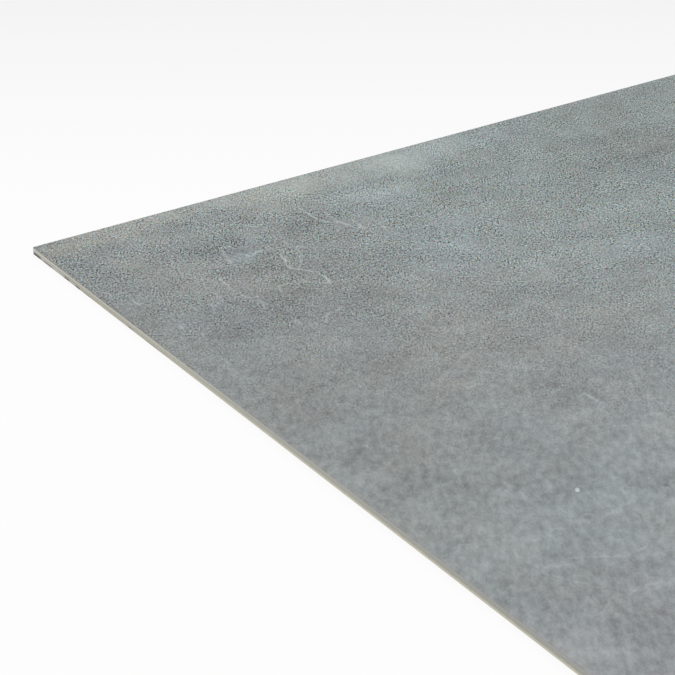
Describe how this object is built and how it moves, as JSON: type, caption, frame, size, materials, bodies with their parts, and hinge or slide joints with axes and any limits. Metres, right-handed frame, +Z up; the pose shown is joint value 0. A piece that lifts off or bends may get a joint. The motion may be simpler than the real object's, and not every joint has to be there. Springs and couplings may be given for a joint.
{
  "type": "vinyl floor tile",
  "caption": "Flat square vinyl floor tile with a grey concrete-look printed face, a cream filled core and a thin backing, lying face up.",
  "frame": {"origin": "middle of the underside", "axes": "+Z up through the printed face, +X and +Y along the cut sides"},
  "size_m": [0.4572, 0.4572, 0.002],
  "materials": {
    "printed_face": "satin wear layer over a mottled concrete-look print, finely embossed",
    "core": "matte cut side of cream filled vinyl",
    "backing": "matte, finely textured underside"
  },
  "bodies": {
    "root": {"printed_face": "printed_face", "core": "core", "backing": "backing"}
  },
  "joints": []
}
